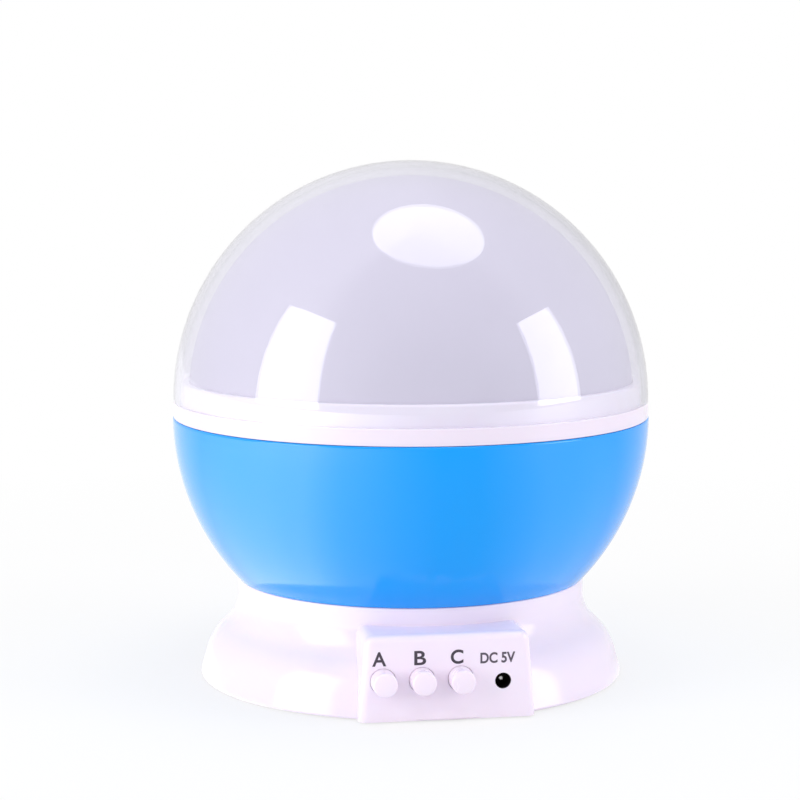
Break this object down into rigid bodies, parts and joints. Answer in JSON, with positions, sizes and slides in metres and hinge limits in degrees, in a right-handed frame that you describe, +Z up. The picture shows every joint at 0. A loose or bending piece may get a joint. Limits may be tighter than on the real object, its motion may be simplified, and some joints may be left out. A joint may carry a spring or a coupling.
{
  "type": "star night light projector",
  "caption": "Tabletop night light: a ball that turns on a bell-shaped base, with a lift-off clear and milky cover over a star-cut dome, push buttons and a power inlet on the base.",
  "frame": {"origin": "on the surface that the feet stand on, under the ball's axis", "axes": "+Z up along the ball's axis, -Y out of the control panel, +X to the right as seen facing the panel"},
  "size_m": [0.12, 0.12, 0.1298],
  "materials": {
    "shell_white": "glossy injection-moulded white, faint lilac cast",
    "button_white": "glossy moulded white",
    "bowl_blue": "glossy injection-moulded sky blue",
    "clear_shell": "polished clear plastic",
    "milky_shell": "milky light-spreading plastic",
    "mask_dark": "dark matte plastic",
    "gear_nylon": "natural nylon, dry",
    "dark_plastic": "black moulded plastic",
    "board_green": "solder-masked circuit board",
    "steel": "zinc-plated steel",
    "nickel": "nickel-plated contact metal",
    "cell_wrap": "plain wrapped dry cell",
    "foot_rubber": "soft pale rubber",
    "led_epoxy": "clear LED epoxy",
    "wire_insulation": "flexible wire insulation"
  },
  "bodies": {
    "base": {"base_shell": "shell_white", "bottom_plate": "shell_white", "battery_door": "shell_white", "door_screw": "steel", "plate_screws": "steel", "rubber_feet": "foot_rubber", "battery_cells": "cell_wrap", "battery_contacts": "nickel", "control_board": "board_green", "board_screws": "steel", "board_parts": "dark_plastic", "switch_housings": "dark_plastic", "dc_jack": "dark_plastic", "jack_pin": "nickel", "gear_motor": "steel", "motor_strap": "steel", "motor_screws": "steel", "idler_axle": "steel", "thrust_washer": "gear_nylon", "retaining_clip": "steel", "led_mast": "shell_white", "led_board": "board_green", "leds": "led_epoxy", "led_leads": "wire_insulation", "battery_leads": "wire_insulation", "motor_leads": "wire_insulation"},
    "rotor": {"bowl": "bowl_blue", "hub_bush": "gear_nylon", "ring_gear": "gear_nylon", "ring_gear_screws": "steel", "mask_carrier": "shell_white", "carrier_screws": "steel", "star_mask": "mask_dark", "mask_screws": "steel"},
    "cover": {"clear_dome": "clear_shell", "diffuser_dome": "milky_shell", "cover_ring": "shell_white"},
    "idler": {"idler_gear": "gear_nylon"},
    "motor_output": {"motor_shaft": "steel", "motor_pinion": "gear_nylon"},
    "button_a": {"button_cap_a": "button_white", "switch_plunger_a": "dark_plastic"},
    "button_b": {"button_cap_b": "button_white", "switch_plunger_b": "dark_plastic"},
    "button_c": {"button_cap_c": "button_white", "switch_plunger_c": "dark_plastic"}
  },
  "joints": [
    {"name": "rotor_spin", "type": "hinge", "parent": "base", "child": "rotor", "pos_m": [0, 0, 0.025], "axis": [0, 0, 1], "continuous": true},
    {"name": "idler_spin", "type": "hinge", "parent": "base", "child": "idler", "pos_m": [0.01186, 0.02481, 0.02], "axis": [0, 0, 1], "continuous": true},
    {"name": "motor_spin", "type": "hinge", "parent": "base", "child": "motor_output", "pos_m": [0, 0.034, 0.018], "axis": [0, 0, 1], "continuous": true},
    {"name": "cover_lift", "type": "slide", "parent": "rotor", "child": "cover", "axis": [0, 0, 1], "range_m": [0, 0.06]},
    {"name": "button_a_press", "type": "slide", "parent": "base", "child": "button_a", "axis": [0, 1, 0], "range_m": [0, 0.0015], "stiffness_N_per_m": 600},
    {"name": "button_b_press", "type": "slide", "parent": "base", "child": "button_b", "axis": [0, 1, 0], "range_m": [0, 0.0015], "stiffness_N_per_m": 600},
    {"name": "button_c_press", "type": "slide", "parent": "base", "child": "button_c", "axis": [0, 1, 0], "range_m": [0, 0.0015], "stiffness_N_per_m": 600}
  ],
  "couplings": [
    {"joint": "idler_spin", "follows": "rotor_spin", "ratio": -10},
    {"joint": "motor_spin", "follows": "rotor_spin", "ratio": 50}
  ]
}
